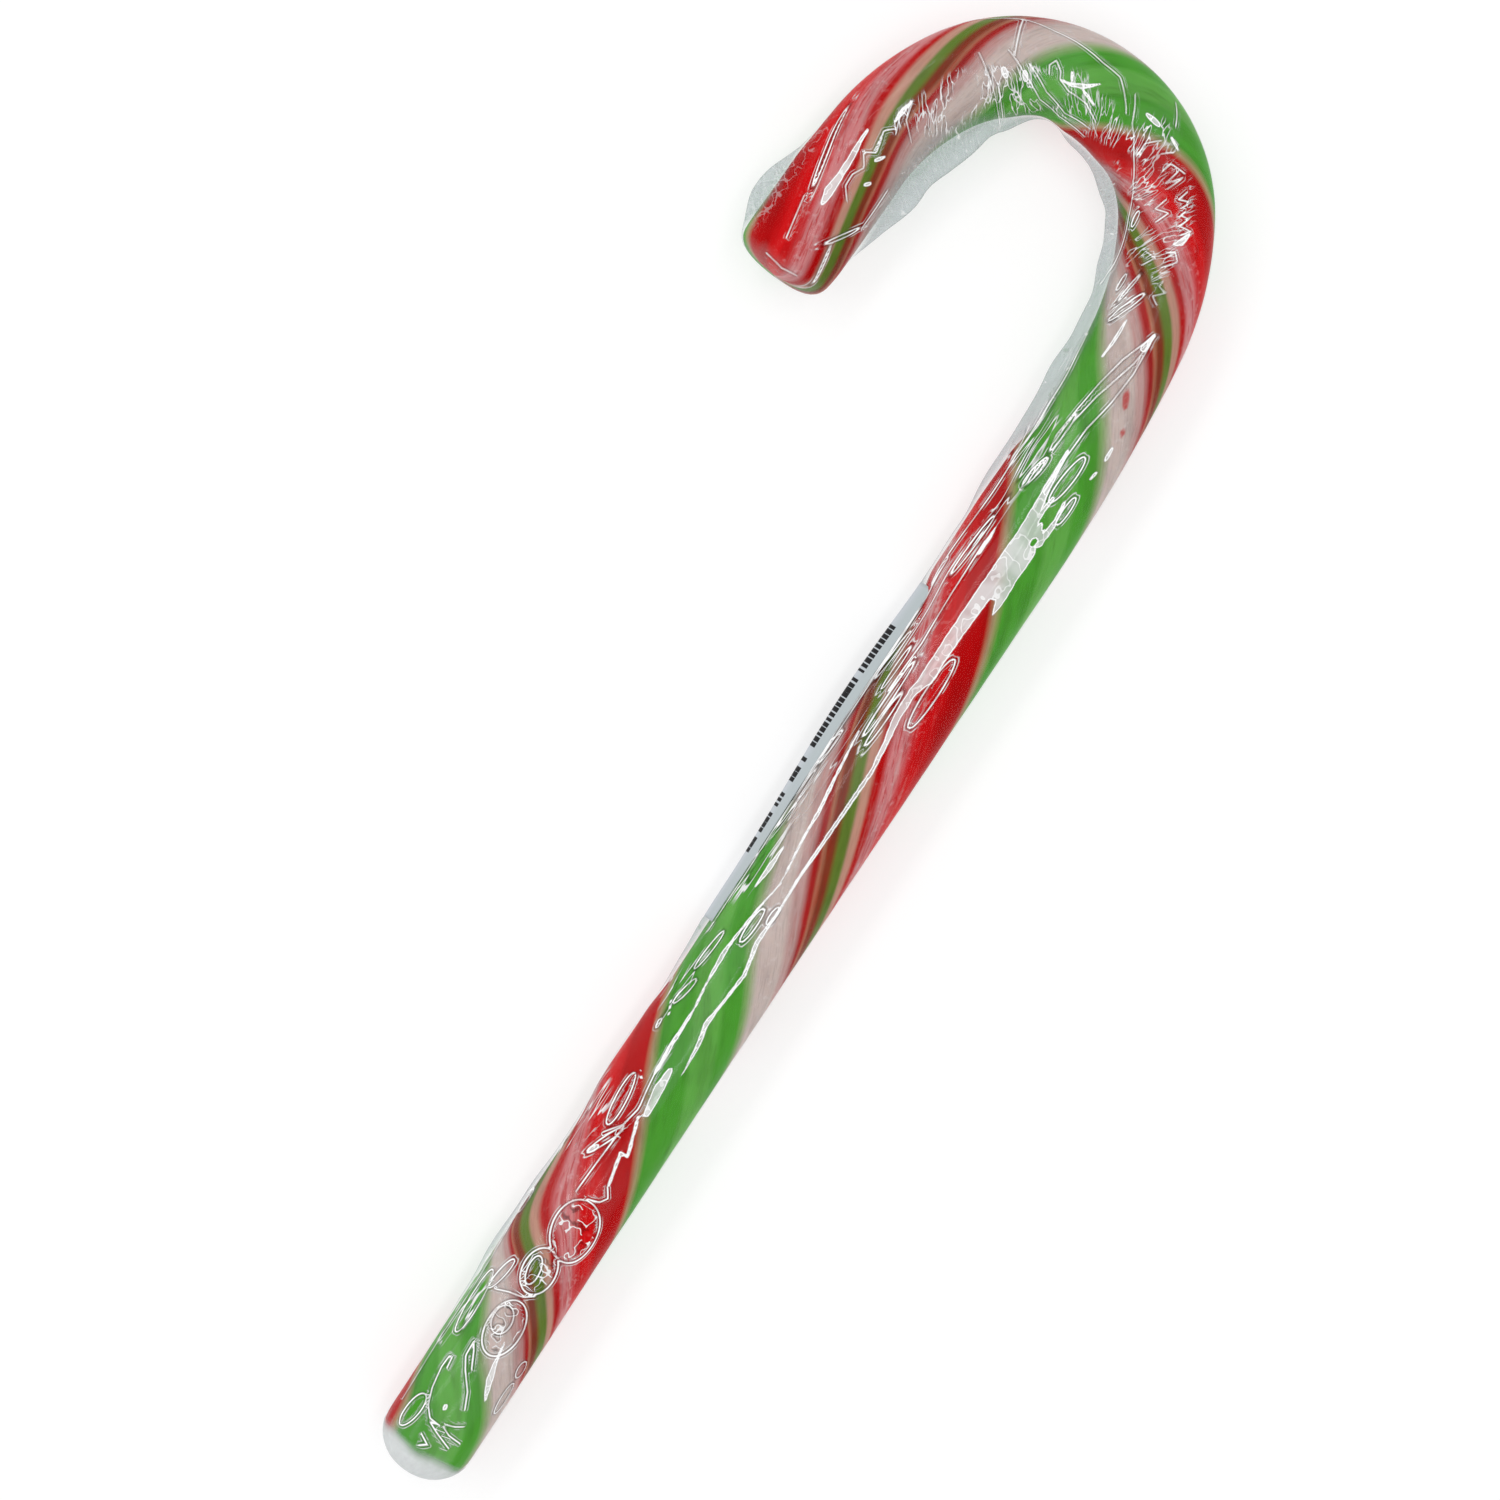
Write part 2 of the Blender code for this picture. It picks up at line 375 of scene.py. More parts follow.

# Glints are painted highlights, strips where the film is pulled flat: points along each with half its
# width.
GLINTS = (
    ((129.5, 78, 0.1), (125.0, 80, 0.3), (122.0, 83, 0.5), (120.2, 88, 0.9), (118.0, 94, 1.5),
     (113.2, 93, 1.4)),
    ((113.2, 89, 1.1), (111.8, 86, 0.8), (107.0, 85, 0.7), (103.5, 85, 0.65), (101.2, 86, 0.75)),
    ((114.0, 102, 0.8), (112.0, 107, 0.4), (110.5, 109, 0.03)),
    ((121.5, 96, 0.5), (119.0, 106, 0.5)),
    ((120.4, 89, 0.4), (122.6, 90, 0.2), (124.4, 92, 0.12)),
    ((119.6, 108, 0.4), (122.4, 110, 0.2), (124.8, 106, 0.12)),
    ((101.2, 86, 0.6), (99.1, 81, 0.4), (96.1, 82, 0.35), (93.0, 88, 0.25), (89.8, 93, 0.18)),
    ((89.8, 93, 0.18), (81.2, 92, 0.14), (75.9, 91, 0.12), (72.2, 93, 0.08), (67.9, 92, 0.2)),
    ((67.9, 92, 0.2), (64.3, 101, 0.16), (60.9, 98, 0.1), (57.8, 95, 0.22), (55.6, 101, 0.2),
     (51.7, 105, 0.03)),
    ((92.5, 52, 0.08), (87.1, 60, 0.16), (83.1, 67, 0.18), (79.9, 69, 0.1), (74.4, 77, 0.06),
     (71.6, 72, 0.06)),
    ((71.6, 72, 0.06), (67.0, 67, 0.1), (65.0, 66, 0.26), (61.4, 69, 0.08), (58.4, 74, 0.08),
     (53.4, 75, 0.18)),
    ((53.4, 75, 0.18), (50.3, 77, 0.06)),
    ((51.7, 90, 0.2), (49.2, 91, 0.5), (46.4, 95, 0.3)),
    ((45.6, 89, 0.12), (41.5, 104, 0.12), (41.4, 95, 0.15), (37.8, 104, 0.08)),
    ((49.8, 59, 0.15), (49.2, 67, 0.12)),
    ((57.9, 39, 0.1), (56.3, 50, 0.15)),
    ((78.0, 54, 0.05), (75.3, 54, 0.33), (72.7, 52, 0.05)),
    ((118.4, 52, 0.14), (115.1, 53, 0.1)),
    ((132.3, 124, 0.2), (130.6, 124, 0.15)),
    ((129.2, 122, 0.1), (128.1, 119, 0.12)),
    ((144.6, 102, 0.05), (142.8, 98, 0.32)),
    ((144.9, 65, 0.04), (142.1, 62, 0.18), (140.2, 58, 0.06)),
    ((178.2, 71, 0.04), (176.6, 70, 0.15), (175.2, 75, 0.24), (174.3, 82, 0.08), (173.8, 87, 0.03)),
    ((176.8, 73, 0.12), (177.2, 84, 0.03)),
    ((175.2, 70, 0.12), (173.2, 62, 0.03)),
    ((185.0, 79, 0.15), (184.6, 66, 0.32)),
    ((182.5, 74, 0.1), (182.2, 61, 0.26)),
    ((168.2, 98, 0.26), (166.4, 103, 0.12)),
    ((154.1, 95, 0.06), (154.5, 104, 0.32), (155.4, 113, 0.12)),
    ((164.9, 109, 0.1), (163.6, 111, 0.1)),
    ((201.3, 97, 0.1), (204.7, 93, 0.3), (206.6, 92, 0.32), (208.9, 92, 0.5), (210.3, 90, 0.2)),
    ((195.8, 85, 0.08), (197.2, 83, 0.24), (198.6, 80, 0.1)),
    ((203.4, 68, 0.1), (202.3, 60, 0.18)),
    ((206.2, 62, 0.18), (205.5, 55, 0.12)),
    ((39.5, 61, 0.3), (40.8, 68, 0.16)),
    ((8.4, 87, 0.2), (9.1, 85, 0.22)),
    ((17.9, 103, 0.05), (15.6, 107, 0.16), (13.6, 113, 0.34), (12.2, 119, 0.2), (11.4, 124, 0.04)),
)

# Holes in the widest glint, each an oval as for a leaf.
GLINT_HOLES = (
    (118.8, 101, 119.9, 101, 0.35),
    (119.4, 113, 120.6, 113, 0.18),
    (120.9, 103, 124.0, 99, 0.48),
    (122.2, 113, 125.7, 115, 0.30),
)

# The slack strip of film over the top of the shaft: its lower and upper edge.
SLACK_LOWER = (
    (38, 92), (46, 84), (55, 72), (65, 66), (78, 77), (92, 52), (104, 50), (118, 60),
    (128, 58), (144, 80),
)
SLACK_UPPER = (
    (38, 104), (52, 105), (61, 98), (68, 92), (90, 93), (104, 85), (116, 96), (128, 84),
    (144, 104),
)


def rgb(red, green, blue):
    """A colour given in the usual 0 to 255, as the linear values that Blender's colours hold."""
    shares = [channel / 255 for channel in (red, green, blue)]
    return tuple(s / 12.92 if s <= 0.04045 else ((s + 0.055) / 1.055) ** 2.4 for s in shares)


# ---------------------------------------------------------------- settings


class CandySettings(bpy.types.PropertyGroup):
    """Sizes and colours of the candy."""

    radius: FloatProperty(
        name="Radius", description="Radius of the candy under its film", default=0.00513, unit="LENGTH"
    )
    lumps: FloatProperty(
        name="Lumps", description="Height of the soft lumps left by rolling", default=0.00003,
        unit="LENGTH",
    )
    grooves: FloatProperty(
        name="Grooves", description="Depth of the grooves that follow the stripes", default=0.000015,
        unit="LENGTH",
    )
    red: FloatVectorProperty(
        name="Red", description="Wide and narrow red stripes", default=rgb(180, 3, 5), subtype="COLOR"
    )
    scarlet: FloatVectorProperty(
        name="Scarlet", description="Brighter side of the wide red stripe", default=rgb(206, 14, 18),
        subtype="COLOR",
    )
    maroon: FloatVectorProperty(
        name="Maroon", description="Narrow dark red stripe", default=rgb(162, 36, 34), subtype="COLOR"
    )
    rose: FloatVectorProperty(
        name="Rose", description="Where red runs into pink", default=rgb(204, 56, 60), subtype="COLOR"
    )
    pink: FloatVectorProperty(
        name="Pink", description="Pale stripe streaked with red", default=rgb(205, 128, 130),
        subtype="COLOR",
    )
    blush: FloatVectorProperty(
        name="Blush", description="Where the white stripe turns pink", default=rgb(188, 152, 148),
        subtype="COLOR",
    )
    white: FloatVectorProperty(
        name="White", description="Pale stripe between red and green", default=rgb(199, 182, 176),
        subtype="COLOR",
    )
    leaf: FloatVectorProperty(
        name="Leaf", description="Where the white stripe turns green", default=rgb(132, 164, 104),
        subtype="COLOR",
    )
    green: FloatVectorProperty(
        name="Green", description="Wide green stripe", default=rgb(76, 155, 48), subtype="COLOR"
    )
    lime: FloatVectorProperty(
        name="Lime", description="The lighter middle of the green stripe", default=rgb(98, 169, 72),
        subtype="COLOR",
    )
    tan: FloatVectorProperty(
        name="Tan", description="Where green and red run together", default=rgb(190, 142, 124),
        subtype="COLOR",
    )
    moss: FloatVectorProperty(
        name="Moss", description="Narrow border between green and red", default=rgb(168, 146, 110),
        subtype="COLOR",
    )
    clay: FloatVectorProperty(
        name="Clay", description="Thin line between the two dark stripes", default=rgb(174, 114, 88),
        subtype="COLOR",
    )
    olive: FloatVectorProperty(
        name="Olive", description="Narrow dull green stripe", default=rgb(96, 122, 44), subtype="COLOR"
    )
    brown: FloatVectorProperty(
        name="Brown", description="Narrow stripe where red lies over green", default=rgb(128, 54, 32),
        subtype="COLOR",
    )


class FilmSettings(bpy.types.PropertyGroup):
    """How the film sits and shines."""

    gap: FloatProperty(
        name="Gap", description="Gap under the film where it clings", default=0.00003, unit="LENGTH"
    )
    lift: FloatProperty(
        name="Lift", description="How far the film stands off where it is slack", default=0.00009,
        unit="LENGTH",
    )
    fold: FloatProperty(
        name="Fold", description="Height of the film's sharp folds", default=0.00006, unit="LENGTH"
    )
    tint: FloatVectorProperty(
        name="Tint", description="Colour of the film where it hangs free", default=rgb(204, 211, 211),
        subtype="COLOR",
    )
    roughness: FloatProperty(
        name="Roughness", description="Roughness of the film's shine", default=0.11, min=0.0, max=1.0
    )


class LabelSettings(bpy.types.PropertyGroup):
    """The paper label and its row of bars."""

    paper: FloatVectorProperty(
        name="Paper", description="Colour of the label's paper", default=rgb(198, 203, 210),
        subtype="COLOR",
    )
    ink: FloatVectorProperty(
        name="Ink", description="Colour of the bars", default=rgb(12, 12, 16), subtype="COLOR"
    )
    bars: IntProperty(name="Bars", description="Places for a bar in the row", default=46, min=1)


class StageSettings(bpy.types.PropertyGroup):
    """Floor, light and camera."""

    floor: FloatVectorProperty(
        name="Floor", description="Colour of the floor", default=(0.42, 0.42, 0.42), subtype="COLOR"
    )
    glow: FloatProperty(
        name="Glow", description="Strength of the floor's own light", default=0.60, min=0.0
    )
    sky: FloatProperty(
        name="Sky", description="Strength of the light from all round", default=0.74, min=0.0
    )
    lens: FloatProperty(
        name="Lens", description="Focal length of the camera", default=0.1, unit="CAMERA"
    )
    view_width: FloatProperty(
        name="View width", description="Width that the camera takes in", default=0.1605, unit="LENGTH"
    )


# ---------------------------------------------------------------- shape


def eased(knots, distance):
    """The value at each distance, easing in and out between the knots and held beyond the end ones."""
    places, values = np.array(knots).T
    index = np.clip(np.searchsorted(places, distance) - 1, 0, len(places) - 2)
    share = (distance - places[index]) / (places[index + 1] - places[index])
    return values[index] + np.diff(values)[index] * (1 - np.cos(pi * np.clip(share, 0, 1))) / 2


def smooth_curve(knots, distance):
    """The value at each distance on a curve through the knots that keeps its slope at each of them."""
    places, values = np.array(knots).T
    slopes = np.gradient(values, places)
    index = np.clip(np.searchsorted(places, distance) - 1, 0, len(places) - 2)
    span = places[index + 1] - places[index]
    t = (distance - places[index]) / span
    start = (1 + 2 * t) * (1 - t) ** 2 * values[index] + t * (1 - t) ** 2 * span * slopes[index]
    end = t**2 * (3 - 2 * t) * values[index + 1] + t**2 * (t - 1) * span * slopes[index + 1]
    return start + end


def smoothstep(low, high, value):
    share = np.clip((value - low) / (high - low), 0, 1)
    return share * share * (3 - 2 * share)


def axis_at(distance):
    """Points on the candy's axis at these distances from the foot, and the directions inwards."""
    point = np.zeros((len(distance), 2))
    heading = np.full(len(distance), radians(FOOT_HEADING))
    left = np.array(distance)
    for length, turn in BENDS:
        run = np.clip(left, 0, length)
        half_turn = radians(turn) * run / length / 2
        chord = run * np.sinc(half_turn / pi)
        middle = heading + half_turn
        point += chord[:, None] * np.stack((np.cos(middle), np.sin(middle)), axis=1)
        heading += 2 * half_turn
        left -= length
    return point, np.stack((-np.sin(heading), np.cos(heading)), axis=1)


def dome_scale(distance):
    """How much of the full section is left at each distance: 1 between the domes, 0 at either tip."""
    scale = np.ones_like(distance)
    for depth, (length, power) in ((distance, FOOT_DOME), (CANE_LENGTH - distance, HOOK_DOME)):
        left = 1 - np.clip(1 - depth / length, 0, 1) ** power
        scale = np.minimum(scale, np.clip(left, 0, 1) ** (1 / power))
    return scale


def drawn_out(angle, radius, stand_off):
    """Distance from the axis of a tube of this radius, drawn out to a ridge at angle 0."""
    shoulder = np.arccos(radius / (radius + stand_off))
    return radius / np.cos(np.maximum(shoulder - np.abs(angle), 0))


def turned(angle):
    """Each angle, brought to between minus and plus half a turn."""
    return (angle + pi) % (2 * pi) - pi


def tube_reach(distance, angle, radius):
    """The film's distance from the axis where it is stretched over a rod of this radius."""
    inner = drawn_out(turned(angle), radius, eased(INNER_RIDGE, distance))
    outer = drawn_out(pi - np.abs(turned(angle)), radius, eased(OUTER_FIN, distance))
    return np.maximum(inner, outer)


def placed(distance, angle, reach):
    """The points of a grid of reaches: one row for each distance, one column for each angle."""
    point, inward = axis_at(distance)
    across = (reach * np.cos(angle))[..., None] * inward[:, None, :]
    height = AXIS_HEIGHT + reach * np.sin(angle)
    return np.concatenate((point[:, None, :] + across, height[..., None]), axis=2)


def to_frame():
    """The shift in X and Y from the axis's own start to its place in the frame."""
    distance = np.linspace(0, CANE_LENGTH, 800)
    angle = np.linspace(-pi, pi, 181)[None, :]
    reach = tube_reach(distance[:, None], angle, ROD_RADIUS) * dome_scale(distance)[:, None]
    points = placed(distance, angle, reach).reshape(-1, 3)
    low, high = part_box("wrapped_cane")
    return (np.array(low) + np.array(high) - points.min(axis=0) - points.max(axis=0))[:2] / 2


SHIFT = to_frame()


def ripples(seed, length, width, distance, angle, waves=28):
    """A smooth random relief of about unit height, with bumps of this length and width in metres."""
    rng = np.random.default_rng(seed)
    relief = 0.0
    for _ in range(waves):
        slant = rng.uniform(0, 2 * pi)
        scale = rng.uniform(0.6, 1.4)
        along = scale * cos(slant) / length * 2 * pi
        around = round(scale * sin(slant) * GIRTH / width)
        relief = relief + np.cos(along * distance + around * angle + rng.uniform(0, 2 * pi))
    return relief * sqrt(2 / waves)


def stripe_turn(distance, angle):
    """How far the stripes have turned at each point, in radians."""
    lag = eased(LAG, distance) * np.maximum(np.cos(angle), 0)
    return np.radians(smooth_curve(TWIST, distance) - lag)


def candy_radius(settings, distance, angle):
    """The candy's uneven radius: soft lumps, and grooves that follow the stripes."""
    lumps = ripples(11, 0.024, 0.011, distance, angle)
    phase = pi - angle - stripe_turn(distance, angle)
    grooves = np.cos(5 * phase + 1.0) + 0.6 * np.cos(11 * phase + 2.5) + 0.4 * np.cos(17 * phase)
    return settings.radius + settings.lumps * 0.5 * lumps + settings.grooves * grooves * 0.5


def swell(distance, angle):
    """How far the candy swells beyond its radius towards its inner and its outer side."""
    toward_inner = np.maximum(np.cos(angle), 0) ** 8
    toward_outer = np.maximum(-np.cos(angle), 0) ** 8
    return eased(INNER_SWELL, distance) * toward_inner + eased(OUTER_SWELL, distance) * toward_outer


def stations(spacings, crowd):
    """Distances along the cane, crowded towards its tips.

    Each spacing has where it ends and its step.
    """
    foot, hook = FOOT_DOME[0], HOOK_DOME[0]
    rise = 1 - np.cos(np.linspace(0, pi / 2, crowd + 1)[1:-1])
    found = [foot * rise]
    start = foot
    for end, step in spacings:
        found.append(np.linspace(start, end, round((end - start) / step), endpoint=False))
        start = end
    return np.concatenate((*found, [start], CANE_LENGTH - hook * rise[::-1]))


def film_angles():
    """Angles round the film, close together on the upper side where most of its folds are."""
    low, high = np.radians(FILM_SIDE)
    upper = np.linspace(low, high, FILM_COLUMNS[0], endpoint=False)
    lower = np.linspace(high, low + 2 * pi, FILM_COLUMNS[1], endpoint=False)
    return np.concatenate((upper, lower))


def swept(name, points, poles, material, uv, values):
    """A closed tube over a grid of points, with a pole at each end.

    uv holds one pair for each grid point and for the column that repeats the first. values holds
    arrays, one number for each grid point, that the material reads by name.
    """
    rows, columns = points.shape[:2]
    count = rows * columns
    i, j = np.meshgrid(np.arange(rows - 1), np.arange(columns), indexing="ij")
    after = (j + 1) % columns
    quads = np.stack((i * columns + j, i * columns + after, (i + 1) * columns + after,
                      (i + 1) * columns + j), axis=2).reshape(-1, 4)
    ring = np.arange(columns)
    following = (ring + 1) % columns
    first = np.stack((following, ring, np.full(columns, count)), axis=1)
    base = (rows - 1) * columns
    last = np.stack((base + ring, base + following, np.full(columns, count + 1)), axis=1)
    vertices = np.concatenate((points.reshape(-1, 3), poles))
    mesh = bpy.data.meshes.new(name)
    mesh.from_pydata(vertices, [], quads.tolist() + first.tolist() + last.tolist())
    corners = np.stack((uv[:-1, :-1], uv[:-1, 1:], uv[1:, 1:], uv[1:, :-1]), axis=2)
    tip = np.stack((uv[0, 1:], uv[0, :-1], (uv[0, 1:] + uv[0, :-1]) / 2), axis=1)
    end = np.stack((uv[-1, :-1], uv[-1, 1:], (uv[-1, 1:] + uv[-1, :-1]) / 2), axis=1)
    flat = np.concatenate([part.reshape(-1, 2) for part in (corners, tip, end)])
    mesh.uv_layers.new(name="surface").data.foreach_set("uv", flat.ravel())
    for value_name, grid in values.items():
        ends = np.array([grid[0].mean(), grid[-1].mean()])
        layer = mesh.attributes.new(value_name, "FLOAT", "POINT")
        layer.data.foreach_set("value", np.concatenate((grid.ravel(), ends)).astype(np.float32))
    return shown(name, mesh, material)


def shown(name, mesh, material):
    """An object of this mesh, smooth, in the scene and riding on the cane's body."""
    mesh.shade_smooth()
    mesh.materials.append(material)
    obj = bpy.data.objects.new(name, mesh)
    bpy.context.scene.collection.objects.link(obj)
    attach(obj, "root")
    return obj


# ---------------------------------------------------------------- materials


class Wire:
    """One output socket. Arithmetic on it adds Math nodes."""

    def __init__(self, finish, socket):
        self.finish = finish
        self.socket = socket

    def math(self, operation, *operands):
        return self.finish.node("ShaderNodeMath", {"operation": operation}, dict(enumerate(operands)))

    def __add__(self, other):
        return self.math("ADD", self, other)

    def __sub__(self, other):
        return self.math("SUBTRACT", self, other)

    def __rsub__(self, other):
        return self.math("SUBTRACT", other, self)

    def __mul__(self, other):
        return self.math("MULTIPLY", self, other)

    def __truediv__(self, other):
        return self.math("DIVIDE", self, other)

    def __pow__(self, other):
        return self.math("POWER", self, other)

    __radd__ = __add__
    __rmul__ = __mul__

    def sine(self):
        return self.math("SINE", self)

    def cosine(self):
        return self.math("COSINE", self)

    def magnitude(self):
        return self.math("ABSOLUTE", self)

    def to_whole(self):
        """How far the value is from the nearest whole number."""
        return self.math("PINGPONG", self, 0.5)

    def line(self, width):
        """1 where the value is near 0, and 0 further from it than the width."""
        return 1 - self.magnitude().step(0.45 * width, width)

    def bell(self, middle, width):
        """1 at this middle value, falling to 0 on both sides within about twice the width."""
        away = (self - middle) / width
        return self.math("EXPONENT", away * away * -1)

    def step(self, low, high):
        """0 below the low value and 1 above the high one, with a soft change between."""
        return self.finish.node(
            "ShaderNodeMapRange",
            {"interpolation_type": "SMOOTHSTEP"},
            {"Value": self, "From Min": low, "From Max": high},
        )

    def held(self):
        """The value kept between 0 and 1."""
        return self.finish.node(
            "ShaderNodeMath", {"operation": "ADD", "use_clamp": True}, {0: self, 1: 0.0}
        )


class Finish:
    """A material under construction."""

    def __init__(self, name):
        self.material = bpy.data.materials.new(name)
        self.material.use_nodes = True
        self.tree = self.material.node_tree
        self.tree.nodes.clear()

    def node(self, kind, settings=None, values=None, output=0):
        """A new node: its settings are made first, then its sockets are set or linked."""
        made = self.tree.nodes.new(kind)
        for name, setting in (settings or {}).items():
            if name == "stops":
                self.set_stops(made.color_ramp, setting)
            else:
                setattr(made, name, setting)
        for name, value in (values or {}).items():
            socket = self.socket_of(made.inputs, name)
            if isinstance(value, Wire):
                self.tree.links.new(value.socket, socket)
            else:
                socket.default_value = value
        return Wire(self, self.socket_of(made.outputs, output))

    @staticmethod
    def socket_of(sockets, name):
        """A node's socket by its place, its identifier or its name."""
        if isinstance(name, int):
            return sockets[name]
        found = [socket for socket in sockets if name in (socket.identifier, socket.name)]
        return found[0]

    @staticmethod
    def set_stops(ramp, stops):
        while len(ramp.elements) > 1:
            ramp.elements.remove(ramp.elements[-1])
        for index, (place, color) in enumerate(stops):
            stop = ramp.elements.new(place) if index else ramp.elements[0]
            stop.position = place
            stop.color = (*color, 1.0)

    def mix(self, factor, first, second, how="MIX"):
        """A colour between two, or the second blended over the first."""
        settings = {"data_type": "RGBA", "blend_type": how}
        values = {"Factor_Float": factor, "A_Color": opaque(first), "B_Color": opaque(second)}
        return self.node("ShaderNodeMix", settings, values, "Result_Color")

    def noise(self, scale, vector, detail=2.0, roughness=0.5):
        values = {"Vector": vector, "Scale": scale, "Detail": detail, "Roughness": roughness}
        return self.node("ShaderNodeTexNoise", {}, values)

    def joined(self, x, y, z):
        """A vector from three values."""
        return self.node("ShaderNodeCombineXYZ", {}, {"X": x, "Y": y, "Z": z})

    def surface_place(self):
        """The two values of the surface map: distance along the cane, and turns round it."""
        uv = self.node("ShaderNodeUVMap", {"uv_map": "surface"})
        split = self.node("ShaderNodeSeparateXYZ", {}, {"Vector": uv})
        return split, Wire(self, split.socket.node.outputs["Y"])

    def value(self, name):
        """A number that the mesh holds for each point."""
        return self.node("ShaderNodeAttribute", {"attribute_name": name}, {}, "Fac")

    def bump(self, height, strength, distance):
        values = {"Height": height, "Strength": strength, "Distance": distance}
        return self.node("ShaderNodeBump", {}, values)

    def finished(self, shader):
        output = self.tree.nodes.new("ShaderNodeOutputMaterial")
        self.tree.links.new(shader.socket, output.inputs["Surface"])
        return self.material


def opaque(color):
    return color if isinstance(color, Wire) else (*color[:3], 1.0)


def stripe_stops(settings):
    """The ramp's stops for one turn of the stripes."""
    stops = []
    for start, end, name in STRIPES:
        color = tuple(getattr(settings, name))
        stops.append((start / 360, color))
        if end > start:
            stops.append((end / 360, color))
    return stops


def candy_material(settings):
    """Pulled sugar: twisted stripes with soft edges and fine streaks that follow them."""
    finish = Finish("striped_candy")
    along, turns = finish.surface_place()
    around = turns * (2 * pi)
    wrapped = finish.joined(around.cosine(), around.sine(), along * 22.0)
    fine = finish.joined(around.cosine(), around.sine(), along * 60.0)
    wobble = finish.noise(1.6, wrapped, detail=3.0)
    place = turns + (wobble - 0.5) * 0.030
    ramp_place = finish.node("ShaderNodeMath", {"operation": "FRACT"}, {0: place})
    stripes = finish.node("ShaderNodeValToRGB", {"stops": stripe_stops(settings)}, {"Fac": ramp_place})
    streaks = finish.noise(9.0, wrapped, detail=5.0, roughness=0.6)
    in_pale = (ramp_place.bell(322 / 360, 0.06) + ramp_place.bell(82 / 360, 0.06)).held()
    pale = finish.mix(streaks.step(0.50, 0.74) * (0.42 * in_pale), stripes, settings.white)
    threads = finish.noise(24.0, wrapped, detail=3.0, roughness=0.6)
    clouds = finish.noise(2.6, fine, detail=4.0)
    darker = clouds.step(0.42, 0.72) * 0.42 + threads.step(0.48, 0.68) * 0.34
    deep = finish.mix(darker.held(), pale, (0.60, 0.56, 0.56), "MULTIPLY")
    in_pink = ramp_place.bell(326 / 360, 0.05)
    in_border = ramp_place.bell(40 / 360, 0.05)
    red_streaks = finish.noise(16.0, wrapped, detail=4.0, roughness=0.6)
    reddened = red_streaks.step(0.50, 0.60) * (in_pink * 0.62 + in_border * 0.30)
    flecked = finish.value("fleck").step(-0.22, 0.14) * 0.75
    streaked = finish.mix((reddened + flecked).held(), deep, settings.red)
    grain = finish.noise(1400.0, finish.node("ShaderNodeTexCoord", {}, {}, "Object"), detail=2.0)
    grainy = finish.mix(grain.step(0.55, 0.75) * (0.20 * in_pale), streaked, (0.80, 0.78, 0.78))
    color = finish.mix(finish.value("end"), grainy, rgb(226, 229, 229))
    relief = finish.noise(14.0, wrapped, detail=4.0)
    shader = finish.node(
        "ShaderNodeBsdfPrincipled",
        {},
        {
            "Base Color": color,
            "Roughness": clouds * 0.12 + 0.32,
            "Subsurface Weight": 0.30,
            "Subsurface Radius": (1.0, 0.55, 0.35),
            "Subsurface Scale": 0.0005,
            "Specular IOR Level": 0.03,
            "Normal": finish.bump(relief, 0.2, 0.00005),
        },
    )
    return finish.finished(shader)


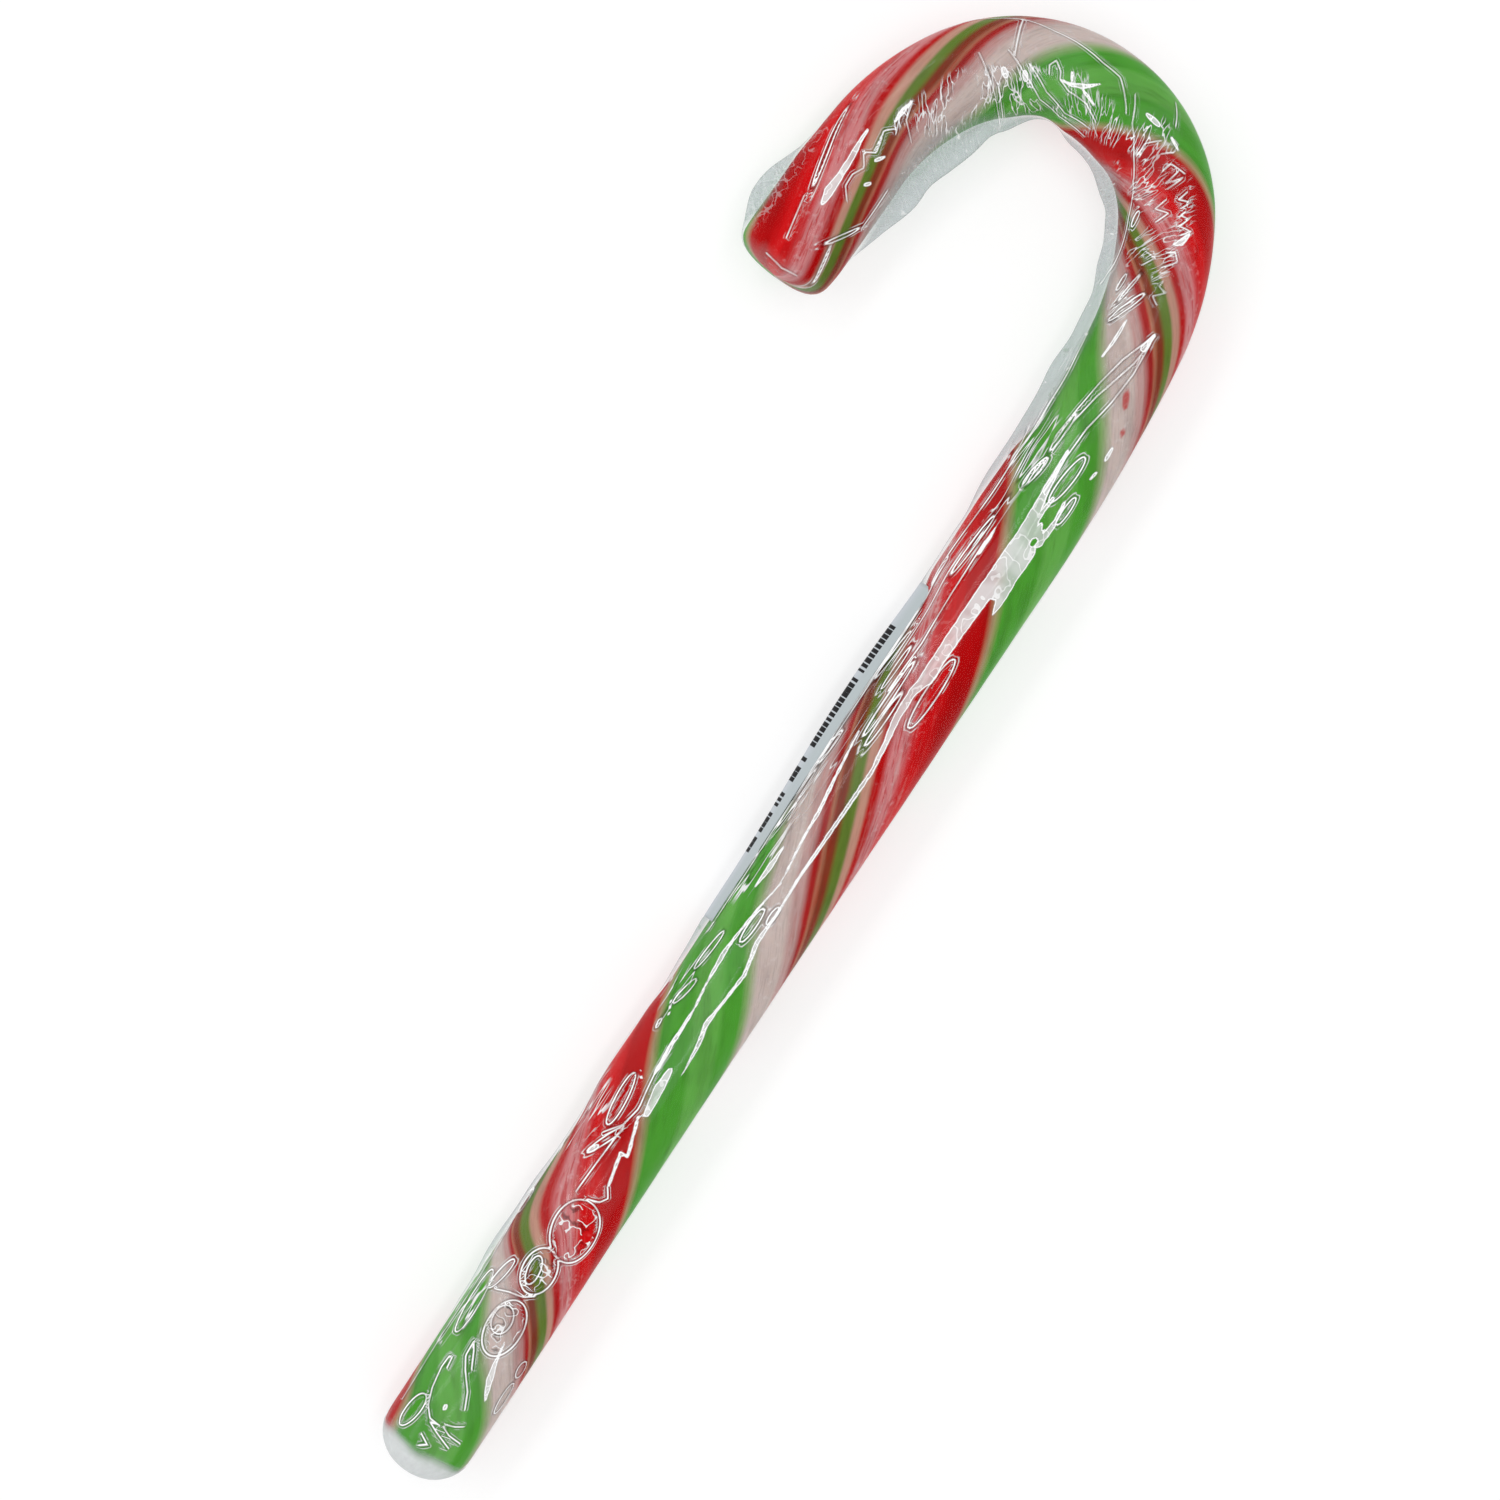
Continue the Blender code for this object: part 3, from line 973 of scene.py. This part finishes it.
def film_material(settings):
    """Clear film: almost nothing where it clings, its own haze where it hangs free, painted reflection
    where it is slack, painted highlights on its folds and glints, and painted shade beside the folds.
    """
    finish = Finish("clear_film")
    facing = finish.node("ShaderNodeLayerWeight", {}, {"Blend": 0.5}, "Facing")
    slack = finish.value("slack")
    free = finish.value("free")
    hazy = finish.value("hazy")
    strength = finish.value("fold_strength")
    fold_distance = finish.value("fold_distance")
    along, turns = finish.surface_place()
    around = turns * (2 * pi)
    wrapped = finish.joined(around.cosine(), around.sine(), along * 190.0)
    stretched = finish.joined(around.cosine(), around.sine(), along * 19.0)
    stroke_place = along * 1000.0 - finish.value("skew")
    gathered = finish.joined(around.cosine() * 1.3, around.sine() * 1.3, stroke_place * 0.64)
    uneven = finish.noise(1.6, wrapped, detail=2.0)
    broken = finish.noise(5.0, wrapped, detail=3.0)
    # White lines on each fold, their echoes, and the fine strokes, streaks and wrinkles below are
    # painted highlights.
    fold = fold_distance.bell(0.0, 0.076) * strength
    echo = fold_distance.magnitude().bell(0.32, 0.045) * strength * uneven.step(0.44, 0.56) * 0.7
    streak = finish.noise(5.8, stretched, detail=1.0) - 0.5
    crinkle = finish.noise(1.8, gathered, detail=1.0) - 0.5
    wrinkle = finish.noise(3.6, wrapped, detail=1.0) - 0.5
    drawn, crinkly, inner = (finish.value(name) for name in ("drawn", "crinkly", "inner"))
    strokes = 1 - (stroke_place * 1.6 + uneven * 3.0 + broken * 0.9).to_whole().step(0.05, 0.13)
    strokes = strokes * crinkle.step(-0.02, 0.03) + crinkle.line(0.026)
    fine = streak.line(0.024) * drawn + strokes * crinkly + wrinkle.line(0.024) * inner
    # Dark lines beside the fine strokes, streaks and wrinkles: painted shade.
    fine_shade = (
        streak.bell(0.045, 0.015) * drawn
        + crinkle.bell(0.070, 0.020) * crinkly
        + wrinkle.bell(0.080, 0.025) * inner
    )
    white = (fold * (0.60 + 0.9 * uneven.step(0.34, 0.60)) + echo + fine * 0.8).held()
    # Dark bands on both sides of each fold: painted shade.
    beside = (fold_distance.bell(-0.17, 0.06) + fold_distance.bell(0.17, 0.05)) * strength
    shade = ((beside + fine_shade) * 0.52).held()
    # The glints and the bright rim round each are painted highlights.
    glint_depth_here = finish.value("glint") + (broken - 0.5) * 0.24
    glint = glint_depth_here.step(-0.03, 0.03)
    rim = glint_depth_here.line(0.09)
    height = fold * 0.8 + uneven * 1.2 + broken * 0.15
    normal = finish.bump(height, 0.6, 0.00006)

    clear = finish.node("ShaderNodeBsdfTransparent", {}, {"Color": (0.99, 0.993, 0.993, 1.0)})
    smoky = finish.node("ShaderNodeBsdfTransparent", {}, {"Color": (0.845, 0.877, 0.89, 1.0)})
    body = finish.node("ShaderNodeMixShader", {}, {"Fac": free, 1: clear, 2: smoky})
    sheen = {"Color": (1, 1, 1, 1), "Roughness": settings.roughness, "Normal": normal}
    gloss = finish.node("ShaderNodeBsdfGlossy", {}, sheen)
    shine = (0.004 + facing**4 * 0.10 + slack * 0.010 + free * 0.04 + fold * 0.25 + glint * 0.06).held()
    film = finish.node("ShaderNodeMixShader", {}, {"Fac": shine, 1: body, 2: gloss})
    haze = finish.node("ShaderNodeBsdfDiffuse", {}, {"Color": opaque(settings.tint)})
    # Where the film hangs free it has its own grey haze, and the gathered ends are hazy. The share that
    # grows towards grazing angles and the share where the film is slack are painted reflection.
    haze_and_painted_sheen = (slack * 0.028 + free * (0.18 + facing**2 * 0.20) + hazy * (0.40 + broken * 0.6)).held()
    veiled = finish.node("ShaderNodeMixShader", {}, {"Fac": haze_and_painted_sheen, 1: film, 2: haze})
    # Dark see-through film, mixed in where the painted shade falls.
    dark = finish.node("ShaderNodeBsdfTransparent", {}, {"Color": (0.30, 0.33, 0.34, 1.0)})
    shaded = finish.node("ShaderNodeMixShader", {}, {"Fac": shade, 1: veiled, 2: dark})
    # Plain white, mixed in for the painted highlights and for the haze of the gathered film.
    bright = finish.node("ShaderNodeBsdfDiffuse", {}, {"Color": (0.97, 0.97, 0.97, 1.0)})
    # How much of the glints' painted highlight covers the film.
    opacity = 0.38 + 0.22 * uneven.step(0.40, 0.60) + wrinkle.line(0.03) * 0.25
    specks = broken.step(0.66, 0.72) * free * 0.5
    # Painted highlights of the folds, glints and rims, white specks on the free film, and the gathered
    # film's haze.
    painted_highlights_and_haze = (white + glint * opacity + rim * 0.7 + specks + hazy * 0.35).held()
    return finish.finished(
        finish.node("ShaderNodeMixShader", {}, {"Fac": painted_highlights_and_haze, 1: shaded, 2: bright})
    )


def label_material(settings):
    """White paper with a row of plain bars of uneven width that spell nothing."""
    finish = Finish("label_paper")
    along, across = finish.surface_place()
    row_share = (along - BAR_ROW[0]) * (1 / (BAR_ROW[1] - BAR_ROW[0]))
    place = row_share * float(settings.bars)
    index = finish.node("ShaderNodeMath", {"operation": "FLOOR"}, {0: place})
    chance = finish.node("ShaderNodeTexWhiteNoise", {"noise_dimensions": "1D"}, {"W": index + 0.5})
    slow = {"W": index * 0.31, "Scale": 1.0}
    grouped = finish.node("ShaderNodeTexNoise", {"noise_dimensions": "1D"}, slow)
    shift = finish.node("ShaderNodeTexWhiteNoise", {"noise_dimensions": "1D"}, {"W": index + 40.5})
    width = (chance * 0.20 + grouped.step(0.42, 0.60) * 0.16 + 0.21) * chance.step(0.20, 0.21)
    away = (place - index - 0.5 + (shift - 0.5) * 0.12).magnitude()
    inked = (width - away).step(0.0, 0.04)
    row = row_share.step(0.0, 0.001) * (1 - row_share.step(0.999, 1.0))
    tip = across + (1 - along) * 0.04
    reach = 1 - tip.step(0.878, 0.884)
    fibres = finish.noise(900.0, finish.node("ShaderNodeTexCoord", {}, {}, "Object"), detail=3.0)
    plain = finish.mix(fibres * 0.10, settings.paper, (0.62, 0.66, 0.74))
    # Greyer towards the label's upper edge.
    paper = finish.mix(across.step(0.74, 0.92) * 0.85, plain, rgb(178, 188, 190))
    color = finish.mix(inked * row * reach, paper, settings.ink)
    shader = finish.node(
        "ShaderNodeBsdfPrincipled",
        {},
        {
            "Base Color": color,
            "Roughness": fibres * 0.1 + 0.40,
            "Specular IOR Level": 0.2,
            "Normal": finish.bump(fibres, 0.2, 0.00003),
        },
    )
    return finish.finished(shader)


def floor_material(settings):
    """A pale floor that glows a little, so that shadows on it stay soft."""
    finish = Finish("pale_floor")
    shader = finish.node(
        "ShaderNodeBsdfPrincipled",
        {},
        {
            "Base Color": opaque(settings.floor),
            "Roughness": 0.9,
            "Specular IOR Level": 0.1,
            "Emission Color": (1.0, 1.0, 1.0, 1.0),
            "Emission Strength": settings.glow,
        },
    )
    return finish.finished(shader)


# ---------------------------------------------------------------- pieces


def end_share(distance, angle):
    """1 on the candy's pale end at the foot, 0 elsewhere."""
    reach = 0.0026 + 0.0006 * np.cos(angle) + 0.0002 * np.cos(5 * angle + 1)
    return 1 - smoothstep(reach - 0.0005, reach + 0.0003, distance)


def in_frame(points):
    points[..., :2] += SHIFT
    return points


def pole_points():
    point, _ = axis_at(np.array([0.0, CANE_LENGTH]))
    return in_frame(np.column_stack((point, np.full(2, AXIS_HEIGHT))))


def build_candy(settings):
    """The candy: a rod with its stripes in the surface map."""
    distance = stations(((CANE_LENGTH - HOOK_DOME[0], CANDY_STEP),), CANDY_DOME_ROWS)
    whole = np.arange(CANDY_COLUMNS + 1) * 2 * pi / CANDY_COLUMNS
    angle = whole[:-1]
    reach = candy_radius(settings, distance[:, None], angle) + swell(distance[:, None], angle)
    reach = reach * dome_scale(distance)[:, None]
    points = in_frame(placed(distance, angle, reach))
    points[..., 2] = np.maximum(points[..., 2], CANDY_FLOOR)
    phase = pi - whole[None, :] - stripe_turn(distance[:, None], whole)
    uv = np.stack(np.broadcast_arrays(distance[:, None], phase / (2 * pi)), axis=2)
    fleck = np.full(reach.shape, -1.0)
    for each in FLECKS:
        fleck = np.maximum(fleck, leaf_depth(distance[:, None], angle, each))
    values = {"end": end_share(distance[:, None], angle), "fleck": fleck}
    return swept("candy", points, pole_points(), candy_material(settings), uv, values)


def from_place(distance, angle, along, around):
    """How far each point lies from a place on the film, along and round it, in millimetres."""
    return distance / MM - along, turned(angle - radians(around)) * ROD_MM


def leaf_depth(distance, angle, leaf):
    """How deep inside an oval each point lies, in millimetres; negative outside it."""
    start, start_angle, end, end_angle, half_width = leaf
    along, around = from_place(distance, angle, (start + end) / 2, (start_angle + end_angle) / 2)
    run = end - start
    rise = (end_angle - start_angle) * DEGREE_MM
    length = hypot(run, rise)
    half_length = length / 2
    u = (along * run + around * rise) / length / half_length
    v = (around * run - along * rise) / length / half_width
    radius = np.maximum(np.hypot(u, v), 0.01)
    steepness = np.hypot(u / half_length, v / half_width) / radius
    return np.clip((1 - radius) / np.maximum(steepness, 0.01), -FAR, half_width)


def from_segment(distance, angle, first, second):
    """Each point's signed distance from a straight stretch, its share of the way along it, and how far
    past its end the point lies."""
    along, around = from_place(distance, angle, first[0], first[1])
    run = second[0] - first[0]
    rise = radians(second[1] - first[1]) * ROD_MM
    length = sqrt(run**2 + rise**2)
    share = (along * run + around * rise) / length**2
    held = np.clip(share, 0, 1)
    away = np.hypot(along - held * run, around - held * rise)
    side = np.where(around * run - along * rise < 0, -1.0, 1.0)
    return away * side, held, np.abs(share - held) * length


def glint_depth(distance, angle):
    """How deep inside a flat strip of painted highlight each point lies, in millimetres; negative
    outside.
    """
    depth = np.full(np.broadcast_shapes(distance.shape, angle.shape), -1.0)
    for strip in GLINTS:
        if len(strip) == 2 and strip[0][2] >= 0.1:
            (start, start_angle, width), (end, end_angle, other_width) = strip
            oval = (start, start_angle, end, end_angle, max(width, other_width))
            depth = np.maximum(depth, leaf_depth(distance, angle, oval))
            continue
        for first, second in zip(strip, strip[1:]):
            away, share, _ = from_segment(distance, angle, first, second)
            depth = np.maximum(depth, first[2] + (second[2] - first[2]) * share - np.abs(away))
    for hole in GLINT_HOLES:
        depth = np.minimum(depth, -leaf_depth(distance, angle, hole))
    return depth


class Folds:
    """The nearest fold to each point: its signed distance in millimetres, and how sharp it is there."""

    def __init__(self, shape):
        self.distance = np.full(shape, FAR)
        self.strength = np.zeros(shape)

    def add(self, distance, strength):
        shown_here = strength * (1 - smoothstep(0.42, 0.55, np.abs(distance)))
        nearer = (np.abs(distance) < np.abs(self.distance)) & (shown_here > 0.02)
        self.distance = np.where(nearer, distance, self.distance)
        self.strength = np.where(nearer, shown_here, self.strength)


def film_folds(distance, angle, inside, shoulder, free):
    """All folds of the film: round its leaves, its creases, and along its free edge."""
    folds = Folds(inside.shape)
    for leaf in LEAVES:
        depth = leaf_depth(distance, angle, leaf)
        folds.add(-depth, np.full(depth.shape, 1.0))
    for crease in CREASES:
        for index, (first, second) in enumerate(zip(crease, crease[1:])):
            away, share, past = from_segment(distance, angle, first, second)
            is_end = (index == 0) & (share == 0) | (index == len(crease) - 2) & (share == 1)
            sharp = 0.85 if crease[0][0] < CROOK_MM else 0.6
            folds.add(away, sharp * np.where(is_end, 1 - smoothstep(0.0, 0.3, past), 1.0))
    gaps = ripples(53, 0.011, 0.007, distance, angle)
    wobble = 0.12 * ripples(47, 0.018, 0.05, distance, np.zeros_like(angle))
    edge = (np.abs(turned(angle)) - 0.5 * shoulder) * ROD_MM + wobble
    along_shaft = 0.35 + 0.65 * smoothstep(0.066, 0.070, distance) - smoothstep(0.138, 0.144, distance)
    folds.add(edge, free * 0.8 * along_shaft)
    second = (np.abs(turned(angle)) - 0.9 * shoulder) * ROD_MM + 1.5 * wobble
    folds.add(second, free * 0.6 * smoothstep(-0.3, 0.5, gaps) * (1 - smoothstep(0.14, 0.15, distance)))
    return folds


def build_film(settings, candy):
    """The film over the candy: stretched, slack, gathered or folded from place to place."""
    distance = stations(FILM_SPACINGS, FILM_DOME_ROWS)
    angle = film_angles()
    s = distance[:, None]
    under = candy_radius(candy, s, angle) + settings.gap
    tent = tube_reach(s, angle, under)
    under = under + swell(s, angle)
    tent = np.maximum(tent, under)
    free = smoothstep(0.0, 0.0005, tent - under)
    stand_off = eased(INNER_RIDGE, s)
    shoulder = np.arccos(ROD_RADIUS / (ROD_RADIUS + stand_off))
    tented = smoothstep(0.0005, 0.0010, stand_off)

    inside = np.full(under.shape, -FAR)
    for leaf in LEAVES:
        inside = np.maximum(inside, leaf_depth(s, angle, leaf))
    low = np.radians(smooth_curve(SLACK_LOWER, s / MM))
    high = np.radians(smooth_curve(SLACK_UPPER, s / MM))
    strip = np.minimum(angle - low, high - angle) * ROD_MM
    on_shaft = smoothstep(0.040, 0.050, s) * (1 - smoothstep(0.138, 0.146, s))
    over_strip = smoothstep(-0.15, 0.25, strip) * on_shaft
    below_strip = smoothstep(0.0, radians(12), low - angle) * smoothstep(radians(-8), radians(5), angle)
    upper = smoothstep(radians(12), radians(24), angle)
    upper = upper * (1 - smoothstep(radians(118), radians(136), angle))
    near_foot = 1 - smoothstep(0.036, 0.046, s)
    on_crook = smoothstep(0.142, 0.150, s) * (1 - smoothstep(0.196, 0.206, s))
    patchy = smoothstep(-0.4, 0.6, ripples(59, 0.012, 0.009, s, angle))
    slack = np.maximum(over_strip, 0.45 * below_strip * (1 - near_foot) * (1 - on_crook))
    slack = np.maximum(slack, 0.8 * upper * near_foot)
    slack = np.maximum(slack, upper * on_crook * (0.25 + 0.6 * patchy))
    slack = slack * (1 - smoothstep(-0.1, 0.1, inside))

    deep = np.full(under.shape, -FAR)
    for leaf in LEAVES:
        if leaf[4] > WRINKLED_WIDTH:
            deep = np.maximum(deep, leaf_depth(s, angle, leaf))
    outer = smoothstep(radians(138), radians(146), angle)
    outer = outer * (1 - smoothstep(radians(176), radians(184), angle))
    at_tip = smoothstep(0.200, 0.204, s) * (1 - smoothstep(0.2150, 0.2175, s))
    # Wrinkled film inside wide leaves and at the hook's tip: a relief of crumples, and painted highlight
    # lines in the material.
    inner = np.maximum(smoothstep(0.25, 0.45, deep), 0.25 * outer * at_tip)
    # A band along the shaft's inner side where the material paints long highlight streaks with painted
    # shade beside them.
    here = smoothstep(-0.3, 0.4, ripples(73, 0.016, 0.009, s, angle))
    band = smoothstep(radians(4), radians(10), angle) * (1 - smoothstep(radians(44), radians(58), angle))
    drawn = band * here * smoothstep(0.003, 0.008, s) * (1 - smoothstep(0.132, 0.142, s))
    # Gathered film on the crook: a relief of crumples, and painted highlight strokes in the material.
    crinkly = np.zeros(under.shape)
    for *field, amount in GATHERS:
        crinkly = np.maximum(crinkly, amount * smoothstep(-0.3, 0.7, leaf_depth(s, angle, field)))
    some = smoothstep(-0.9, -0.1, ripples(53, 0.007, 0.006, s, angle))
    crinkly = np.maximum(crinkly * some, 0.16 * free * smoothstep(0.145, 0.155, s))
    lean_places, leans = np.array(STROKE_LEAN).T
    skew = np.interp(s / MM, lean_places, leans) * (turned(angle) - radians(70)) * ROD_MM

    folds = film_folds(s, angle, inside, shoulder, tented * np.ones_like(angle))
    ridge = folds.strength * np.exp(-((folds.distance / 0.18) ** 2))
    ruffle = ripples(41, 0.008, 0.0016, s, angle) * 0.00008 * free
    gathered_end = 0.10 * smoothstep(0.2168, 0.2184, s + 0.0003 * ripples(67, 0.01, 0.003, s, angle))
    cap = 1 - smoothstep(0.0024, 0.0040, s + 0.0003 * ripples(61, 0.01, 0.008, s, angle))
    crumple = ripples(31, 0.0019, 0.0056, s, angle) * crinkly
    crumple = crumple + ripples(43, 0.0024, 0.0022, s, angle) * inner
    reach = tent + settings.lift * slack + settings.fold * (ridge + 0.4 * crumple) + ruffle
    reach = np.minimum(reach, label_limit(s, angle))
    points = in_frame(placed(distance, angle, reach * dome_scale(distance)[:, None]))
    points[..., 2] = np.maximum(points[..., 2], SHEET_FLOOR)
    values = {
        "slack": slack,
        "free": free,
        "hazy": np.maximum(cap, gathered_end),
        "fold_distance": np.clip(folds.distance, -0.7, 0.7),
        "fold_strength": folds.strength,
        "glint": glint_depth(s, angle),
        "drawn": drawn,
        "crinkly": crinkly,
        "skew": skew,
        "inner": inner,
    }
    whole = np.append(angle, angle[0] + 2 * pi)
    uv = np.stack(np.broadcast_arrays(s, whole[None, :] / (2 * pi)), axis=2)
    return swept("film", points, pole_points(), film_material(settings), uv, values)


def label_limit(distance, angle):
    """How far out the film may reach: anywhere outside the label's field, and just under it inside."""
    low, high = radians(LABEL_EDGES[0]), radians(LABEL_TOP)
    side = turned(angle)
    inside = (distance > LABEL_ENDS[0]) & (distance < LABEL_ENDS[1]) & (side > low) & (side < high)
    return np.where(inside, tube_reach(distance, angle, ROD_RADIUS) - LABEL_CLEARANCE, 1.0)


def build_label(settings):
    """The label: a thin sheet over the film's shape."""
    rows, columns = LABEL_ROWS, LABEL_COLUMNS
    distance = np.linspace(*LABEL_ENDS, rows)
    angle = np.radians(np.linspace(LABEL_EDGES[0], LABEL_TOP, columns))
    reach = tube_reach(distance[:, None], angle, ROD_RADIUS) + LABEL_RISE
    points = in_frame(placed(distance, angle, reach)).reshape(-1, 3)
    points[:, 2] = np.maximum(points[:, 2], SHEET_FLOOR)
    faces = [
        (i * columns + j, i * columns + j + 1, (i + 1) * columns + j + 1, (i + 1) * columns + j)
        for i in range(rows - 1)
        for j in range(columns - 1)
    ]
    mesh = bpy.data.meshes.new("label_sheet")
    mesh.from_pydata(points, [], faces)
    grid_u, grid_v = np.meshgrid(np.linspace(0, 1, rows), np.linspace(0, 1, columns), indexing="ij")
    flat = np.stack((grid_u, grid_v), axis=2).reshape(-1, 2)
    corners = np.array(faces).ravel()
    mesh.uv_layers.new(name="surface").data.foreach_set("uv", flat[corners].ravel())
    sheet = shown("label_sheet", mesh, label_material(settings))
    thickness = sheet.modifiers.new("thickness", "SOLIDIFY")
    thickness.thickness = PAPER_THICKNESS
    thickness.offset = -1.0
    return sheet


# ---------------------------------------------------------------- operators


class CANE_OT_candy(bpy.types.Operator):
    """Make the striped candy"""

    bl_idname = "candy_cane.make_candy"
    bl_label = "Make the Candy"

    def execute(self, context):
        candy = build_candy(context.scene.cane_candy)
        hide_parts("wrapped_cane")
        return {"FINISHED"}


class CANE_OT_film(bpy.types.Operator):
    """Wrap the candy in its clear film"""

    bl_idname = "candy_cane.wrap_film"
    bl_label = "Wrap in Film"

    def execute(self, context):
        film = build_film(context.scene.cane_film, context.scene.cane_candy)
        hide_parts("wrapped_cane")
        return {"FINISHED"}


class CANE_OT_label(bpy.types.Operator):
    """Stick the paper label round the shaft"""

    bl_idname = "candy_cane.stick_label"
    bl_label = "Stick the Label"

    def execute(self, context):
        label = build_label(context.scene.cane_label)
        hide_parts("label")
        return {"FINISHED"}


def add_lamp(name, place, size, power):
    """A long strip of light beside the cane's shaft, which looks at its middle."""
    data = bpy.data.lights.new(name, "AREA")
    data.shape = "RECTANGLE"
    data.size, data.size_y = size
    data.energy = power
    lamp = bpy.data.objects.new(name, data)
    out = Vector(place).normalized()
    along = Vector((cos(LAMP_HEADING), sin(LAMP_HEADING), 0.0))
    across = along.cross(out).normalized()
    turn = Matrix((across, out.cross(across), out)).transposed().to_4x4()
    lamp.matrix_world = Matrix.Translation(place) @ turn
    bpy.context.scene.collection.objects.link(lamp)


class CANE_OT_stage(bpy.types.Operator):
    """Lay the floor, light it and set the camera above the cane"""

    bl_idname = "candy_cane.set_stage"
    bl_label = "Set the Stage"

    def execute(self, context):
        settings = context.scene.cane_stage
        floor = bpy.data.meshes.new("floor")
        half = FLOOR_HALF
        corners = [(-half, -half, 0.0), (half, -half, 0.0), (half, half, 0.0), (-half, half, 0.0)]
        floor.from_pydata(corners, [], [(0, 1, 2, 3)])
        floor.materials.append(floor_material(settings))
        ground = bpy.data.objects.new("floor", floor)
        ground.location.z = -FLOOR_DROP
        context.scene.collection.objects.link(ground)

        world = bpy.data.worlds.new("soft_light")
        world.use_nodes = True
        background = world.node_tree.nodes["Background"]
        background.inputs["Color"].default_value = (1.0, 1.0, 1.0, 1.0)
        background.inputs["Strength"].default_value = settings.sky
        context.scene.world = world
        for name, place, size, power in LAMPS:
            add_lamp(name, place, size, power)

        data = bpy.data.cameras.new("camera")
        data.lens = settings.lens * 1000
        data.sensor_width = SENSOR_WIDTH
        data.clip_start = 0.01
        camera = bpy.data.objects.new("camera", data)
        rise = settings.view_width * settings.lens * 1000 / SENSOR_WIDTH
        low, high = CAD_BOX
        middle = (low + high) / 2
        aim = (middle.x + AIM_SHIFT[0], middle.y + AIM_SHIFT[1])
        camera.location = (*aim, AXIS_HEIGHT + rise)
        context.scene.collection.objects.link(camera)
        context.scene.camera = camera
        context.scene.view_settings.view_transform = "Standard"
        return {"FINISHED"}


class CANE_PT_panel(bpy.types.Panel):
    """Lists what makes the candy cane"""

    bl_idname = "CANE_PT_panel"
    bl_label = "Candy Cane"
    bl_space_type = "VIEW_3D"
    bl_region_type = "UI"
    bl_category = "Candy Cane"

    def draw(self, context):
        for group, operator in GROUPS:
            box = self.layout.box()
            settings = getattr(context.scene, group)
            for name in settings.__annotations__:
                box.prop(settings, name)
            box.operator(operator.bl_idname)


GROUPS = (
    ("cane_candy", CANE_OT_candy),
    ("cane_film", CANE_OT_film),
    ("cane_label", CANE_OT_label),
    ("cane_stage", CANE_OT_stage),
)
SETTINGS = {
    "cane_candy": CandySettings,
    "cane_film": FilmSettings,
    "cane_label": LabelSettings,
    "cane_stage": StageSettings,
}
CLASSES = (*SETTINGS.values(), *(operator for _, operator in GROUPS), CANE_PT_panel)


def register():
    for each in CLASSES:
        bpy.utils.register_class(each)
    for name, group in SETTINGS.items():
        setattr(bpy.types.Scene, name, PointerProperty(type=group))


def unregister():
    for name in SETTINGS:
        delattr(bpy.types.Scene, name)
    for each in reversed(CLASSES):
        bpy.utils.unregister_class(each)


def main():
    register()
    bpy.ops.candy_cane.make_candy()
    bpy.ops.candy_cane.wrap_film()
    bpy.ops.candy_cane.stick_label()
    bpy.ops.candy_cane.set_stage()


if __name__ == "__main__":
    main()
